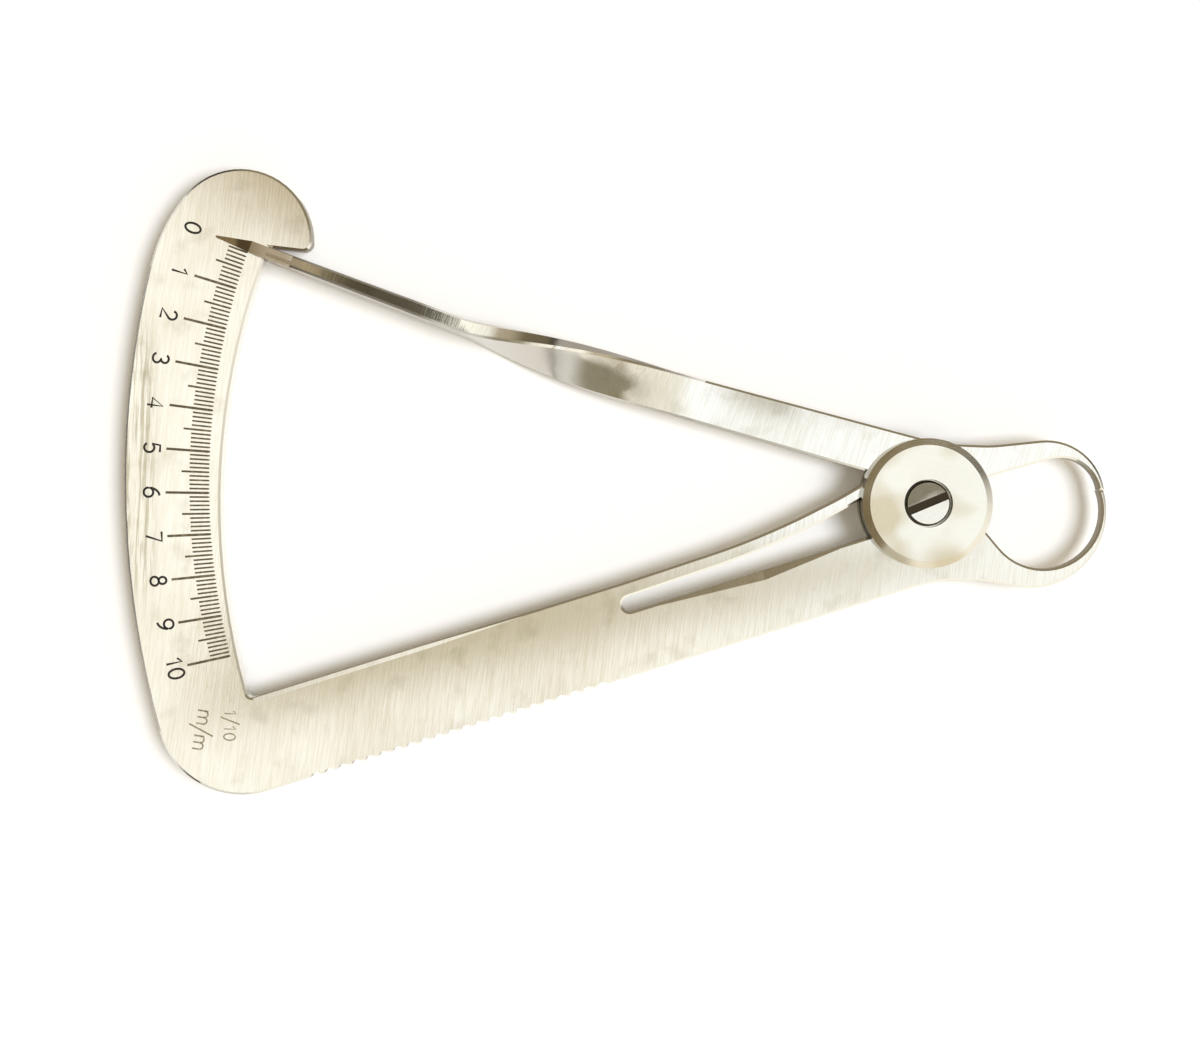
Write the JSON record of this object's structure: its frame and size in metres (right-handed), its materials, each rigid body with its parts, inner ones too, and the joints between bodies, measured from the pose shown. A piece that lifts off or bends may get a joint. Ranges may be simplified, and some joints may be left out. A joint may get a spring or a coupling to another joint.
{
  "type": "surgical caliper",
  "caption": "Spring caliper with curved jaws on a pivot; opening them swings a twisted pointer arm over an engraved scale arc.",
  "frame": {"origin": "on the pivot axis, level with the outer face of the back disc, which is what the caliper lies on", "axes": "+X from the pivot towards the jaws, with the scale arc at -X; +Z along the pivot axis towards the front, which is the engraved side; +Y to the side of the pointer arm"},
  "size_m": [0.0983, 0.0626, 0.0053],
  "materials": {
    "brushed_steel": "satin, fine straight grain",
    "turned_steel": "satin"
  },
  "bodies": {
    "frame": {"scale_frame": "brushed_steel", "front_disc": "turned_steel", "back_disc": "turned_steel", "pivot_screw": "turned_steel"},
    "pointer": {"pointer_arm": "brushed_steel"},
    "leaf": {"spring_leaf": "brushed_steel"}
  },
  "joints": [
    {"name": "arm_pivot", "type": "hinge", "parent": "frame", "child": "pointer", "pos_m": [0, 0, 0.00235], "axis": [0, 0, 1], "range_deg": [0, 33], "stiffness_Nm_per_rad": 0.06, "springref_deg": -17.19, "deforming": ["spring_leaf"]},
    {"name": "leaf_flex", "type": "hinge", "parent": "frame", "child": "leaf", "pos_m": [-0.02952, -0.01012, 0.00235], "axis": [0, 0, 1], "range_deg": [-6.4, 0]}
  ],
  "couplings": [
    {"joint": "leaf_flex", "follows": "arm_pivot", "ratio": -0.188}
  ]
}
